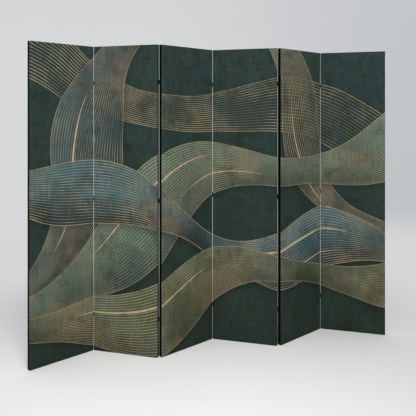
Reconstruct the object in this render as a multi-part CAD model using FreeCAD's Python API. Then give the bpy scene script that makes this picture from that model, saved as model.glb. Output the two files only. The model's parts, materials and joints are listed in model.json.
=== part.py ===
import FreeCAD, Part
import math
import os
from FreeCAD import Placement, Rotation, Vector

# Folding screen of framed canvas panels that stand in a zigzag, joined edge to edge
# by small butt hinges. Lengths are in millimetres, angles in degrees.
# X runs along the screen from its left end to its right end as seen from the front,
# Y runs from the front to the back and Z points up. The origin lies on the floor, at
# the centre of the box round the standing screen.

# The screen as a whole
panel_count = 6
panel_width = 381.0
panel_height = 1700.0
panel_depth = 21.0
panel_gap = 1.2
fold_angle = 29.6

# Wooden frame of one panel
stile_width = 30.0
end_rail_height = 30.0
middle_rail_height = 30.0
foot_radius = 6.0
tenon_thickness = 7.0
tenon_setback = 6.0
tenon_clearance = 0.1

# Canvas glued to the front and to the back of the frame
canvas_thickness = 0.5
canvas_trim = 0.1

# Butt hinges let into the edges, with the pin just proud of the faces that close on
# each other
knuckle_count = 3
knuckle_radius = 1.5
hinge_height = 25.0
hinge_from_end = 204.0
hinge_leaf_width = 12.0
leaf_thickness = 0.75
pin_proud = 0.3
pin_clearance = 0.05
pin_overhang = 0.5
knuckle_play = 0.15
curl_seam = 0.15
notch_clearance = 0.3
housing_clearance = 0.2

# Countersunk wood screws that hold the hinge leaves
screw_radius = 1.25
screw_length = 10.0
screw_from_pin = 7.0
screw_from_leaf_end = 5.5
screw_clearance = 0.05
wood_behind_screws = 5.0

# Flats that stand for the rounding of small features
foot_flats = 3
curl_flats = 8
screw_flats = 8

# Sizes that follow from the ones above
frame_front = canvas_thickness
frame_back = panel_depth - canvas_thickness
frame_middle = panel_depth / 2
inner_right = panel_width - stile_width
housing_depth = knuckle_radius - panel_gap / 2
tenon_length = stile_width - housing_depth - screw_length - wood_behind_screws
knuckle_room = knuckle_radius + notch_clearance
bore_radius = knuckle_radius - leaf_thickness
pin_radius = bore_radius - pin_clearance
knuckle_pitch = (hinge_height + knuckle_play) / knuckle_count
screw_head_radius = screw_radius + leaf_thickness
hinge_centres = (hinge_from_end, panel_height / 2, panel_height - hinge_from_end)
end_rail_spans = (
    (0, end_rail_height),
    (panel_height - end_rail_height, panel_height),
)
middle_rail_span = (
    (panel_height - middle_rail_height) / 2,
    (panel_height + middle_rail_height) / 2,
)


def box_between(low, high):
    """A box from its low corner to its high corner."""
    size = high - low
    return Part.makeBox(size.x, size.y, size.z, low)


def closed_face(points):
    """A flat face inside the closed outline through the points."""
    return Part.Face(Part.makePolygon([*points, points[0]]))


def panel_slab(inset, y_low, y_high):
    """The panel's outline, drawn in by inset, between two depths. Its feet are rounded."""
    right = panel_width - inset
    top = panel_height - inset
    radius = foot_radius - inset
    turns = [math.pi / 2 * step / foot_flats for step in range(foot_flats + 1)]
    drops = [foot_radius - radius * math.sin(turn) for turn in turns]
    draws = [foot_radius - radius * math.cos(turn) for turn in turns]
    points = [Vector(inset, y_low, top)]
    for draw, drop in zip(draws, drops):
        points.append(Vector(draw, y_low, drop))
    for draw, drop in zip(reversed(draws), reversed(drops)):
        points.append(Vector(panel_width - draw, y_low, drop))
    points.append(Vector(right, y_low, top))
    return closed_face(points).extrude(Vector(0, y_high - y_low, 0))


def tenon_bar(span, clearance):
    """Both tenons of a rail as one bar, or the mortises for them when clearance is given."""
    reach = tenon_length + clearance
    half_thickness = tenon_thickness / 2 + clearance
    setback = tenon_setback - clearance
    return box_between(
        Vector(stile_width - reach, frame_middle - half_thickness, span[0] + setback),
        Vector(inner_right + reach, frame_middle + half_thickness, span[1] - setback),
    )


def rail(span):
    """A rail between the stiles, with a tenon at each end."""
    bar = box_between(
        Vector(stile_width, frame_front, span[0]),
        Vector(inner_right, frame_back, span[1]),
    )
    return bar.fuse(tenon_bar(span, 0)).removeSplitter()


def stile(left_side, hinge_hollows):
    """An upright of the frame, with its mortises and the hollows that its hinges need."""
    x_low = 0 if left_side else inner_right
    bar = box_between(
        Vector(x_low, frame_front, 0),
        Vector(x_low + stile_width, frame_back, panel_height),
    )
    upright = bar.common(panel_slab(0, frame_front, frame_back))
    for span in (*end_rail_spans, middle_rail_span):
        upright = upright.cut(tenon_bar(span, tenon_clearance))
    for hollow in hinge_hollows:
        upright = upright.cut(hollow)
    return upright.removeSplitter()


def canvas(y_low, y_high, knuckle_rooms):
    """A canvas between two depths, trimmed and notched beside the hinge knuckles."""
    sheet = panel_slab(canvas_trim, y_low, y_high)
    for room in knuckle_rooms:
        sheet = sheet.cut(room)
    return sheet


class HingeEdge:
    """One edge of a panel that carries hinge leaves.

    The sketches measure x from the pin towards the edge's own panel and y from the pin
    into the depth of the panel, so each leaf is drawn once for all four handings.
    """

    def __init__(self, right_edge, pin_in_front, outer_knuckles):
        self.x_sign = -1 if right_edge else 1
        self.y_sign = 1 if pin_in_front else -1
        self.pin_x = panel_width + panel_gap / 2 if right_edge else -panel_gap / 2
        self.pin_y = -pin_proud if pin_in_front else panel_depth + pin_proud
        self.outer_knuckles = outer_knuckles

    def point(self, x, y, z):
        """A sketched point in the panel's own frame."""
        return Vector(self.pin_x + self.x_sign * x, self.pin_y + self.y_sign * y, z)

    def block(self, x_span, y_span, z_span):
        """A box between two sketched corners."""
        near, far = (self.point(*corner) for corner in zip(x_span, y_span, z_span))
        return box_between(
            Vector(min(near.x, far.x), min(near.y, far.y), near.z),
            Vector(max(near.x, far.x), max(near.y, far.y), far.z),
        )

    def rolled_profile(self, z):
        """The section of a leaf through a knuckle: a flat plate that curls round the pin.

        The curl's outer corners lie on the knuckle's circle, and the flats of its bore
        touch the bore's circle, so the pin always has its clearance.
        """
        seam_angle = math.acos((bore_radius - curl_seam) / knuckle_radius)
        step = (math.tau - seam_angle) / curl_flats
        corner_radius = bore_radius / math.cos(step / 2)

        def on_curl(radius, steps):
            angle = -step * steps
            return self.point(radius * math.cos(angle), radius * math.sin(angle), z)

        points = [self.point(knuckle_radius, hinge_leaf_width, z)]
        for steps in range(curl_flats + 1):
            points.append(on_curl(knuckle_radius, steps))
        points.append(on_curl(bore_radius, curl_flats))
        for steps in reversed(range(curl_flats)):
            points.append(on_curl(corner_radius, steps + 1 / 2))
        points.append(self.point(bore_radius, hinge_leaf_width, z))
        return closed_face(points)

    def knuckle_starts(self, bottom):
        """The heights at which this leaf's own knuckles begin."""
        first = 0 if self.outer_knuckles else 1
        return [bottom + slot * knuckle_pitch for slot in range(first, knuckle_count, 2)]

    def screw_heights(self, bottom):
        """The heights of a leaf's two screws."""
        top = bottom + hinge_height
        return (bottom + screw_from_leaf_end, top - screw_from_leaf_end)

    def screw_ring(self, x, radius, height):
        """The outline of a screw at one distance from the pin."""
        points = []
        for corner in range(screw_flats):
            angle = math.tau * (corner + 1 / 2) / screw_flats
            y = screw_from_pin + radius * math.cos(angle)
            points.append(self.point(x, y, height + radius * math.sin(angle)))
        return Part.makePolygon([*points, points[0]])

    def countersunk(self, height, clearance):
        """A screw's head, or its countersink in the leaf when clearance is given."""
        wide = self.screw_ring(bore_radius, screw_head_radius + clearance, height)
        narrow = self.screw_ring(knuckle_radius, screw_radius + clearance, height)
        return Part.makeLoft([wide, narrow], True, True)

    def shank(self, height, clearance):
        """A screw's shank, tapered to its point, or its pilot hole with clearance."""
        neck = self.screw_ring(knuckle_radius, screw_radius + clearance, height)
        reach = knuckle_radius + screw_length + clearance
        point = Part.Vertex(self.point(reach, screw_from_pin, height))
        return Part.makeLoft([neck, point], True, True)

    def leaf(self, bottom):
        """One leaf: a plate notched beside the other leaf's knuckles, with its own rolled."""
        plate = self.block(
            (bore_radius, knuckle_radius),
            (knuckle_room, hinge_leaf_width),
            (bottom, bottom + hinge_height),
        )
        rise = Vector(0, 0, knuckle_pitch - knuckle_play)
        for start in self.knuckle_starts(bottom):
            plate = plate.fuse(self.rolled_profile(start).extrude(rise))
        for height in self.screw_heights(bottom):
            plate = plate.cut(self.countersunk(height, screw_clearance))
        return plate.removeSplitter()

    def pin(self, bottom):
        """The pin through a hinge's knuckles, a little longer than the hinge."""
        return Part.makeCylinder(
            pin_radius,
            hinge_height + 2 * pin_overhang,
            self.point(0, 0, bottom - pin_overhang),
        )

    def bottoms(self):
        """The heights at which the hinges on this edge begin."""
        return [centre - hinge_height / 2 for centre in hinge_centres]

    def leaves(self):
        """All the leaves on this edge."""
        return [self.leaf(bottom) for bottom in self.bottoms()]

    def pins(self):
        """All the pins on this edge."""
        return [self.pin(bottom) for bottom in self.bottoms()]

    def screws(self):
        """All the screws in this edge's leaves."""
        heights = [z for bottom in self.bottoms() for z in self.screw_heights(bottom)]
        return [self.countersunk(z, 0).fuse(self.shank(z, 0)) for z in heights]

    def knuckle_rooms(self):
        """The notches in wood and canvas in which the knuckles and the pins turn."""
        reach = pin_overhang + housing_clearance
        return [
            self.block(
                (0, knuckle_room),
                (-knuckle_room, knuckle_room),
                (bottom - reach, bottom + hinge_height + reach),
            )
            for bottom in self.bottoms()
        ]

    def housings(self):
        """The shallow recesses in the stile that the leaves are let into."""
        return [
            self.block(
                (0, knuckle_radius),
                (0, hinge_leaf_width + housing_clearance),
                (bottom - housing_clearance, bottom + hinge_height + housing_clearance),
            )
            for bottom in self.bottoms()
        ]

    def hollows(self):
        """All that is cut from the stile for this edge's hinges and their screws."""
        heights = [z for bottom in self.bottoms() for z in self.screw_heights(bottom)]
        pilot_holes = [self.shank(z, screw_clearance) for z in heights]
        return [*self.knuckle_rooms(), *self.housings(), *pilot_holes]


def hinge_edges(number):
    """The left and the right hinge edge of a panel, or None where the screen ends.

    The pins stand in front at every odd joint and behind at every even one, which is
    what lets the screen fold up like an accordion.
    """
    left = None
    right = None
    if number > 1:
        left = HingeEdge(False, number % 2 == 0, False)
    if number < panel_count:
        right = HingeEdge(True, number % 2 == 1, True)
    return left, right


def panel_placements():
    """Where each panel stands: every panel hangs on the pins of the one before it."""
    placements = []
    pin = Vector()
    for number in range(1, panel_count + 1):
        left, right = hinge_edges(number)
        turn = fold_angle if number % 2 == 1 else -fold_angle
        rotation = Rotation(Vector(0, 0, 1), turn)
        base = pin
        if left:
            base = pin - rotation.multVec(left.point(0, 0, 0))
        placement = Placement(base, rotation)
        placements.append(placement)
        if right:
            pin = placement.multVec(right.point(0, 0, 0))
    return placements


def panel_pieces(number):
    """The pieces of one panel and of its hinges, by node name, in the panel's own frame."""
    left, right = hinge_edges(number)
    left_hollows = left.hollows() if left else []
    right_hollows = right.hollows() if right else []
    rooms = [room for edge in (left, right) if edge for room in edge.knuckle_rooms()]
    panel = f"panel_{number}"
    pieces = {
        f"{panel}_left_stile": [stile(True, left_hollows)],
        f"{panel}_right_stile": [stile(False, right_hollows)],
        f"{panel}_end_rails": [rail(span) for span in end_rail_spans],
        f"{panel}_middle_rail": [rail(middle_rail_span)],
        f"{panel}_front_canvas": [canvas(0, frame_front, rooms)],
        f"{panel}_back_canvas": [canvas(frame_back, panel_depth, rooms)],
    }
    screws = []
    if left:
        pieces[f"hinges_{number - 1}_right_leaves"] = left.leaves()
        screws += left.screws()
    if right:
        pieces[f"hinges_{number}_left_leaves"] = right.leaves()
        pieces[f"hinges_{number}_pins"] = right.pins()
        screws += right.screws()
    pieces[f"{panel}_hinge_screws"] = screws
    return pieces


def standing_screen():
    """Every node of the screen in its place, and the place of each joint's pins."""
    nodes = {}
    pins = []
    for number, placement in enumerate(panel_placements(), 1):
        for name, solids in panel_pieces(number).items():
            shape = Part.makeCompound(solids) if len(solids) > 1 else solids[0]
            shape.Placement = placement.multiply(shape.Placement)
            nodes[name] = shape
        right = hinge_edges(number)[1]
        if right:
            pins.append(placement.multVec(right.point(0, 0, 0)))
    box = Part.makeCompound(list(nodes.values())).BoundBox
    shift = Vector(-box.Center.x, -box.Center.y, -box.ZMin)
    for shape in nodes.values():
        shape.translate(shift)
    return nodes, [pin + shift for pin in pins]


def main():
    """Write one STEP file for each node and print the places of the joints."""
    nodes, pins = standing_screen()
    os.makedirs("parts", exist_ok=True)
    for name, shape in nodes.items():
        shape.exportStep(f"parts/{name}.step")
    box = Part.makeCompound(list(nodes.values())).BoundBox
    print(f"{len(nodes)} nodes")
    print(f"box {box.XLength:.3f} x {box.YLength:.3f} x {box.ZLength:.3f}")
    print(f"origin offset {box.Center.x:.6f} {box.Center.y:.6f} {box.ZMin:.6f}")
    for number, pin in enumerate(pins, 1):
        print(f"joint {number} pins at {pin.x:.6f} {pin.y:.6f}")
    print(f"panels turned by {fold_angle} degrees from the line of the screen")


main()
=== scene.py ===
"""Looks of a folding screen: printed canvas panels on black frames, hinged edge to edge.

Lengths are in metres. In a panel's own frame x runs along its width, y from its front to its
back and z up, from the front left corner of its foot. In a hinge leaf's frame x runs from the
pin towards the leaf's own panel, y into that panel's depth and z up from the leaf's lower end.
"""

import json
import logging
import math
from collections.abc import Callable, Iterable, Mapping, Sequence
from dataclasses import dataclass, fields
from enum import Enum
from functools import cache, partialmethod
from typing import ClassVar, Union

import bmesh
import bpy
from bmesh import ops
from bmesh.types import BMEdge, BMesh, BMFace, BMVert
from bpy.types import ID, Material, Node, NodeSocket, NodeTree, Object
from mathutils import Matrix, Vector


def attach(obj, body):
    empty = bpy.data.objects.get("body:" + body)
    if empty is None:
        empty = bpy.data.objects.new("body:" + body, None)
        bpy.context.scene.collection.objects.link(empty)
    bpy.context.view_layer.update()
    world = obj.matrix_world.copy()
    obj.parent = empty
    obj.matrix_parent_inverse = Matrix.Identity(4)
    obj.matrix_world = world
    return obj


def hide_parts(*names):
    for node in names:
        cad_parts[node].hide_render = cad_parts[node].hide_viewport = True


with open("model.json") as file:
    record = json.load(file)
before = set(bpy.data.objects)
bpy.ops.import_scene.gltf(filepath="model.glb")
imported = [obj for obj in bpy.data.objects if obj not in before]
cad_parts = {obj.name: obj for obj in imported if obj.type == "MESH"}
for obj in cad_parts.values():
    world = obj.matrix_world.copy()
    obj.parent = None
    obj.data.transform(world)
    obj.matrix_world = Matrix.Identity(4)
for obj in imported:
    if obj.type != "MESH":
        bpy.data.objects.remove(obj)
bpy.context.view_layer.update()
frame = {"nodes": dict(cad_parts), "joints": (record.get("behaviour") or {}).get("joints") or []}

log = logging.getLogger("folding_screen")

Colour = tuple[float, float, float, float]
Operand = Union["Signal", float]
Feed = Union["Signal", float, Sequence[float]]
Range = tuple[float, float]
Triple = tuple[float, float, float]
FaceTest = Callable[[BMFace], bool]

MILLIMETRE = 0.001
PRINT_MAP = "print_place"
GRAIN_MAP = "grain_place"
ARRIS_MARK = "arris"
TINY = 0.002 * MILLIMETRE
CUT_WITHIN = 0.0001 * MILLIMETRE
FLAT_WITHIN = math.radians(1)
SMOOTH_BELOW = math.radians(40)
SHARP_ABOVE = math.radians(60)
ALONG, DEEP, UP = Vector((1, 0, 0)), Vector((0, 1, 0)), Vector((0, 0, 1))
AS_BUILT = Matrix.Identity(4)


def tint(red: float, green: float, blue: float) -> Colour:
    """Turns display values from 0 to 255 into a shader colour.

    Args:
        red: Red share of the colour.
        green: Green share of the colour.
        blue: Blue share of the colour.

    Returns:
        The colour in linear light, with full cover.
    """

    def linear(value: float) -> float:
        """One display value in linear light."""
        share = value / 255
        return share / 12.92 if share <= 0.04045 else ((share + 0.055) / 1.055) ** 2.4

    return (linear(red), linear(green), linear(blue), 1.0)


class Tone:
    """The tones of thread, paint, metal and surroundings."""

    THREAD_GAP = tint(148, 148, 148)
    THREAD = tint(216, 216, 216)
    PAINT = tint(10, 10, 11)
    PAINT_CLOUD = tint(15, 15, 16)
    GRAIN = tint(29, 28, 27)
    WORN_WOOD = tint(66, 59, 52)
    WORN_STEEL = tint(92, 92, 96)
    # The backdrop's right tone is darker as painted shade, where the light falls off.
    BACKDROP_LEFT = tint(215, 216, 218)
    BACKDROP_RIGHT = tint(193, 196, 199)
    BACKDROP_ABOVE = tint(202, 204, 207)
    # The near floor tone is brightened as a painted pool of light; the round tone is the floor beyond
    # it.
    FLOOR_NEAR = tint(246, 246, 246)
    FLOOR_ROUND = tint(217, 217, 218)
    FLOOR_FAR = tint(214, 214, 215)
    SKY = tint(255, 255, 255)


class Ink:
    """The inks of the print. SHADOW also serves as painted shade in the gaps between the canvas threads.
    """

    GROUND_TOP = tint(43, 59, 58)
    GROUND_FOOT = tint(35, 46, 39)
    GROUND_CLOUD = tint(55, 71, 66)
    MOSS = tint(38, 50, 39)
    SPOT = tint(32, 34, 27)
    SMUDGE = tint(46, 46, 33)
    SHADOW = tint(19, 24, 22)
    TEAL = tint(56, 84, 78)
    SAGE = tint(80, 101, 88)
    PALE_SAGE = tint(101, 126, 109)
    SLATE = tint(60, 76, 77)
    PALE_SLATE = tint(82, 101, 101)
    BLUE = tint(52, 82, 90)
    PALE_BLUE = tint(80, 114, 120)
    OLIVE = tint(68, 76, 56)
    PALE_OLIVE = tint(92, 101, 78)
    UMBER = tint(40, 42, 36)
    GOLD = tint(168, 150, 116)
    PALE_GOLD = tint(190, 168, 130)


class SocketKind(Enum):
    """Kinds of socket that a node group can have."""

    VALUE = "NodeSocketFloat"
    VECTOR = "NodeSocketVector"
    COLOUR = "NodeSocketColor"


class Signal:
    """What a shader node puts out, ready to take part in a formula.

    Most of its methods stand for one operation of a Math node, with the signal itself first.
    """

    def __init__(self, writer: "NodeWriter", socket: NodeSocket) -> None:
        """Keeps the socket together with the writer of its tree."""
        self.writer = writer
        self.socket = socket

    def calculate(self, operation: str, *others: Operand) -> "Signal":
        """The result of a Math node that starts from this signal."""
        return self.writer.math(operation, self, *others)

    __add__ = __radd__ = partialmethod(calculate, "ADD")
    __sub__ = partialmethod(calculate, "SUBTRACT")
    __mul__ = partialmethod(calculate, "MULTIPLY")
    __truediv__ = partialmethod(calculate, "DIVIDE")
    __abs__ = partialmethod(calculate, "ABSOLUTE")
    sine = partialmethod(calculate, "SINE")
    cosine = partialmethod(calculate, "COSINE")
    root = partialmethod(calculate, "SQRT")
    past_whole = partialmethod(calculate, "FRACT")
    whole_below = partialmethod(calculate, "FLOOR")
    at_least = partialmethod(calculate, "MAXIMUM")
    at_most = partialmethod(calculate, "MINIMUM")

    def __rsub__(self, other: float) -> "Signal":
        """A number less this signal."""
        return self.writer.math("SUBTRACT", other, self)

    def __rtruediv__(self, other: float) -> "Signal":
        """A number over this signal."""
        return self.writer.math("DIVIDE", other, self)

    def off_whole(self) -> "Signal":
        """How far this signal is from the nearest whole number."""
        return abs(self - self.calculate("ROUND"))

    def ramp(self, none: Operand, full: Operand) -> "Signal":
        """Goes smoothly from 0 at one value of this signal to 1 at a higher or lower one."""
        inputs = {"Value": self, "From Min": none, "From Max": full}
        return self.writer.result("MapRange", inputs, interpolation_type="SMOOTHSTEP")


class NodeWriter:
    """Writes the nodes of one material, world or group."""

    def __init__(self, tree: NodeTree) -> None:
        """Empties a node tree and starts writing in it."""
        tree.nodes.clear()
        self.tree = tree

    def feed(self, socket: NodeSocket, value: Feed) -> None:
        """Links a signal to a socket, or sets the socket's own value.

        Args:
            socket: The socket.
            value: The signal, or the value.
        """
        if isinstance(value, Signal):
            self.tree.links.new(value.socket, socket)
        else:
            socket.default_value = value

    def node(self, kind: str, inputs: Mapping[str | int, Feed], **settings: object) -> Node:
        """Adds a node.

        Args:
            kind: The node's type, without the word that all shader nodes start with.
            inputs: What its inputs are fed with, by name or number.
            settings: Values for the node's own properties.

        Returns:
            The new node.
        """
        made = self.tree.nodes.new(f"ShaderNode{kind}")
        for name, value in settings.items():
            setattr(made, name, value)
        for name, value in inputs.items():
            self.feed(made.inputs[name], value)
        return made

    def out(self, node: Node, name: str | int = 0) -> Signal:
        """One output of a node as a signal."""
        return Signal(self, node.outputs[name])

    def result(self, kind: str, inputs: Mapping[str | int, Feed], **settings: object) -> Signal:
        """Adds a node and gives its first output as a signal."""
        return self.out(self.node(kind, inputs, **settings))

    def math(self, operation: str, *values: Operand) -> Signal:
        """The result of a Math node."""
        return self.result("Math", dict(enumerate(values)), operation=operation)

    def mix(self, share: Operand, first: Feed, second: Feed, blend: str = "MIX") -> Signal:
        """Blends two colours.

        Args:
            share: How much of the second colour shows.
            first: The colour below.
            second: The colour above.
            blend: The way in which the second colour lies on the first.

        Returns:
            The blended colour.
        """
        made = self.node("Mix", {0: share}, data_type="RGBA", blend_type=blend)
        colours = [socket for socket in made.inputs if socket.type == "RGBA"]
        for socket, colour in zip(colours, (first, second)):
            self.feed(socket, colour)
        return Signal(self, next(socket for socket in made.outputs if socket.type == "RGBA"))

    def vector(self, x: Operand, y: Operand, z: Operand = 0.0) -> Signal:
        """Joins three values to a vector."""
        return self.result("CombineXYZ", {0: x, 1: y, 2: z})

    def parts(self, vector: Signal) -> list[Signal]:
        """Splits a vector into its three values."""
        made = self.node("SeparateXYZ", {0: vector})
        return [self.out(made, number) for number in range(3)]

    def stretched(self, place: Signal, scale: Triple, move: Triple = (0.0, 0.0, 0.0)) -> Signal:
        """A place scaled by its own factor along each axis, and then moved."""
        return self.result("Mapping", {"Vector": place, "Scale": scale, "Location": move})

    def noise(
        self, place: Signal, scale: Feed = 1.0, detail: float = 3.0, roughness: float = 0.6
    ) -> Signal:
        """Cloudy noise around one half.

        Args:
            place: Where the noise is read.
            scale: How many clouds fit in a metre.
            detail: How many finer layers are added.
            roughness: How strong the finer layers are.

        Returns:
            The noise as a signal.
        """
        inputs = {"Vector": place, "Scale": scale, "Detail": detail, "Roughness": roughness}
        return self.result("TexNoise", inputs, noise_dimensions="3D")

    def bump(self, height: Signal, depth: float, strength: float) -> Signal:
        """Tilts the shading normal by a height.

        Args:
            height: The height, where 1 stands for the full depth.
            depth: The full depth in metres.
            strength: How much of the tilt is kept.

        Returns:
            The tilted normal.
        """
        return self.result("Bump", {"Height": height, "Distance": depth, "Strength": strength})

    def use(self, group: NodeTree, **inputs: Feed) -> dict[str, Signal]:
        """Places a node group.

        Args:
            group: The group's own tree.
            inputs: Values for its inputs, with low lines for the spaces in their names.

        Returns:
            The group's outputs by name.
        """
        named = {name.replace("_", " "): value for name, value in inputs.items()}
        made = self.node("Group", named, node_tree=group)
        return {socket.name: Signal(self, socket) for socket in made.outputs}

    def blended(self, share: Signal, first: Signal, second: Signal) -> Signal:
        """Mixes two shaders, the second one by its share."""
        return self.result("MixShader", {"Fac": share, 1: first, 2: second})

    def show(self, shader: Signal, output: str = "OutputMaterial") -> None:
        """Links a shader to the tree's output."""
        self.node(output, {"Surface": shader})


class GroupWriter(NodeWriter):
    """Writes a node group with named inputs and outputs."""

    def __init__(self, name: str) -> None:
        """Starts an empty group.

        Args:
            name: The group's name.
        """
        super().__init__(bpy.data.node_groups.new(name, "ShaderNodeTree"))
        self.entry = self.tree.nodes.new("NodeGroupInput")
        self.exit = self.tree.nodes.new("NodeGroupOutput")

    def takes(self, kind: SocketKind, *names: str) -> list[Signal]:
        """Adds inputs of one kind.

        Args:
            kind: The kind of their sockets.
            names: Their names.

        Returns:
            The inputs as signals inside the group.
        """
        for name in names:
            self.tree.interface.new_socket(name, in_out="INPUT", socket_type=kind.value)
        return [self.out(self.entry, name) for name in names]

    def gives(self, kind: SocketKind, **signals: Signal) -> None:
        """Adds outputs of one kind.

        Args:
            kind: The kind of their sockets.
            signals: What each puts out, by its name.
        """
        for name, signal in signals.items():
            self.tree.interface.new_socket(name, in_out="OUTPUT", socket_type=kind.value)
            self.feed(self.exit.inputs[name], signal)


@cache
def weave_group() -> NodeTree:
    """Plain weave of warp and weft threads with slubs.

    Returns:
        A group that takes a place in metres and a thread pitch. It gives how far a spot stands
        out of the gaps between the threads, its height, and long faint streaks.
    """
    writer = GroupWriter("canvas_weave")
    (place,) = writer.takes(SocketKind.VECTOR, "Place")
    (pitch,) = writer.takes(SocketKind.VALUE, "Pitch")
    upright_slubs, level_slubs = (150.0, 7.0, 1.0), (6.0, 190.0, 1.0)
    crossed, weft_fullness, upright_share = 0.4, 0.8, 0.62
    thread_height, slub_height = 0.8, 0.5
    across, up, _ = writer.parts(place)
    upright = writer.noise(writer.stretched(place, upright_slubs), detail=2.0)
    level_place = writer.stretched(place, level_slubs, move=(4.0, 9.0, 0.0))
    level = writer.noise(level_place, detail=2.0)
    warp = across / pitch + upright
    weft = up / pitch + level
    warp_round = abs((warp * math.pi).sine())
    weft_round = abs((weft * math.pi).sine())
    turn = ((warp.whole_below() + weft.whole_below()) * 0.5).off_whole() * 2.0
    warp_over = warp_round.root() * (weft_round * (1.0 - crossed) + crossed)
    weft_over = weft_round.root() * (warp_round * (1.0 - crossed) + crossed)
    # Threads also sets the painted shade of the weave: low between the threads and on their flanks, a
    # little lower on weft cells.
    threads = warp_over * turn + weft_over * (1.0 - turn) * weft_fullness
    streaks = upright * upright_share + level * (1.0 - upright_share)
    height = threads * thread_height + streaks * slub_height
    writer.gives(SocketKind.VALUE, Threads=threads, Height=height, Streaks=streaks)
    return writer.tree


@cache
def rubbing_group() -> NodeTree:
    """Marks that handling leaves on paint and lacquer.

    Returns:
        A group that takes a place in metres and a scale in marks per metre, and gives a soft
        cloud, a mask of rubbed spots and a fine unevenness.
    """
    writer = GroupWriter("rubbed_coat")
    (place,) = writer.takes(SocketKind.VECTOR, "Place")
    (scale,) = writer.takes(SocketKind.VALUE, "Scale")
    cloud_span, rubbed_span, spot_share = (0.35, 0.68), (0.54, 0.66), 0.75
    cloud = writer.noise(place, scale * 0.5).ramp(*cloud_span)
    spots = writer.noise(place, scale, detail=4.0, roughness=0.7)
    fine = writer.noise(place, scale * 4.0)
    rubbed = (spots * spot_share + fine * (1.0 - spot_share)).ramp(*rubbed_span)
    writer.gives(SocketKind.VALUE, Cloud=cloud, Rubbed=rubbed, Fine=fine)
    return writer.tree


@cache
def stroke_group() -> NodeTree:
    """A brush stroke along a curve that swells in its middle and runs out at its ends.

    Returns:
        A group that takes how far a spot is from the curve and along it, and gives the cover
        of the stroke there.
    """
    writer = GroupWriter("tapered_stroke")
    off, along, middle, reach, width = writer.takes(
        SocketKind.VALUE, "Off", "Along", "Middle", "Reach", "Width"
    )
    soft_edge = 0.5 * MILLIMETRE
    dry_below, full_above = 0.2 * MILLIMETRE, 0.8 * MILLIMETRE
    share = (along - middle) / reach
    half = width * 0.5 * (1.0 - share * share).at_least(0.0)
    inside = off.ramp(half + soft_edge, half)
    writer.gives(SocketKind.VALUE, Cover=inside * half.ramp(dry_below, full_above))
    return writer.tree


@cache
def course_group() -> NodeTree:
    """The course of a ribbon that rolls and narrows across the print.

    Returns:
        A group that takes a place and a course's numbers. It gives how far a spot lies across
        the ribbon, in half widths, how far along it, the half width there and how far the
        ribbon has swollen from its waist.
    """
    writer = GroupWriter("ribbon_course")
    (place,) = writer.takes(SocketKind.VECTOR, "Place")
    pivot, level, turn, sway, length, phase, bend = writer.takes(
        SocketKind.VALUE, "Pivot", "Level", "Turn", "Sway", "Length", "Phase", "Bend"
    )
    depth, waist, waist_at, waist_length = writer.takes(
        SocketKind.VALUE, "Depth", "Waist", "Waist At", "Waist Length"
    )
    x, z, _ = writer.parts(place)
    aside, above = x - pivot, z - level
    along = aside * turn.cosine() + above * turn.sine()
    off = above * turn.cosine() - aside * turn.sine()
    wave = (along - phase) / length * math.tau
    steepness = sway * wave.cosine() * math.tau / length + bend * along * 2.0
    lean = 1.0 / (1.0 + steepness * steepness).root()
    swelling = 0.5 - ((along - waist_at) / waist_length * math.tau).cosine() * 0.5
    half = depth * (waist + (1.0 - waist) * swelling)
    across = (off - sway * wave.sine() - bend * along * along) * lean / half
    writer.gives(SocketKind.VALUE, Across=across, Along=along, Half=half, Swelling=swelling)
    return writer.tree


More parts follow.
